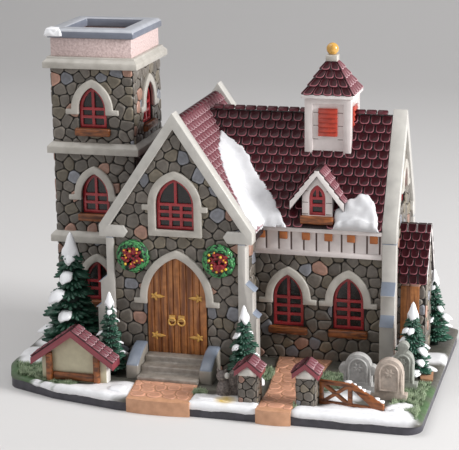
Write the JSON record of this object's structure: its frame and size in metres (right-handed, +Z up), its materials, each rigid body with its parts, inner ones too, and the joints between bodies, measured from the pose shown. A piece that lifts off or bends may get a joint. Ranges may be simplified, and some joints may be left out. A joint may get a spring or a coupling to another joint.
{
  "type": "lighted village chapel",
  "caption": "Lighted ceramic village chapel: gabled entrance, nave, square tower, cupola, dormer and porch on a snowy garden base, lit by a clip-in lamp at the back.",
  "frame": {"origin": "on the table, under the middle of the overall box", "axes": "+X to the right along the front, +Y to the rear, +Z up; the entrance faces -Y"},
  "size_m": [0.236, 0.156, 0.1878],
  "materials": {
    "stonework": "glazed, painted stones",
    "ground": "painted ground",
    "paving": "painted flagstones",
    "steps": "painted stone",
    "snow": "gloss white glaze",
    "trim": "satin glaze",
    "coping": "satin glaze",
    "parapet": "stippled glaze",
    "boards": "satin glaze",
    "tiles": "gloss glaze",
    "window_red": "painted red",
    "logs": "painted wood colour",
    "doors": "painted wood colour",
    "gilding": "gold paint",
    "foliage": "painted green",
    "sign_face": "painted cream, bare",
    "gravestone": "matt paint",
    "animal": "painted dark",
    "socket_plastic": "moulded",
    "clip_steel": "spring steel",
    "cap_brass": "bright",
    "bulb": "clear"
  },
  "bodies": {
    "house": {"entrance_walls": "stonework", "nave_walls": "stonework", "tower_walls": "stonework", "porch_walls": "stonework", "gate_pillars": "stonework", "base_plate": "ground", "door_path": "paving", "garden_path": "paving", "side_path": "paving", "door_steps": "steps", "step_cheeks": "steps", "snow_drifts": "snow", "roof_snow": "snow", "tower_cornice": "trim", "tower_string_courses": "trim", "hood_moulds": "trim", "gable_surrounds": "trim", "entrance_door_hood": "trim", "entrance_buttresses": "trim", "nave_buttresses": "trim", "cupola_collar": "trim", "entrance_copings": "coping", "nave_end_coping": "coping", "tower_coping": "coping", "tower_parapet": "parapet", "eaves_boards": "boards", "corbel_blocks": "boards", "cupola_body": "boards", "dormer_walls": "boards", "entrance_roof": "tiles", "nave_roof": "tiles", "dormer_roof": "tiles", "porch_roof": "tiles", "cupola_roof": "tiles", "gate_pillar_caps": "tiles", "sign_roof": "tiles", "gable_windows": "window_red", "tower_windows": "window_red", "nave_windows": "window_red", "dormer_window": "window_red", "cupola_louvres": "window_red", "window_sills": "logs", "sign_posts": "logs", "garden_fence": "logs", "entrance_door": "doors", "porch_door": "doors", "door_hinges": "gilding", "door_rings": "gilding", "cupola_ball": "gilding", "door_wreaths": "foliage", "trees_left": "foliage", "tree_door": "foliage", "trees_right": "foliage", "sign_board": "sign_face", "gravestones": "gravestone", "garden_squirrel": "animal"},
    "lamp_holder": {"lamp_socket": "socket_plastic", "lamp_clip": "clip_steel"},
    "bulb": {"bulb_cap": "cap_brass", "bulb_glass": "bulb"}
  },
  "joints": [
    {"name": "lamp_slide", "type": "slide", "parent": "house", "child": "lamp_holder", "axis": [0, 1, 0], "range_m": [0, 0.08]},
    {"name": "bulb_turn", "type": "hinge", "parent": "lamp_holder", "child": "bulb", "pos_m": [0.064, 0.05, 0.027], "axis": [0, -1, 0], "range_deg": [0, 900]}
  ]
}
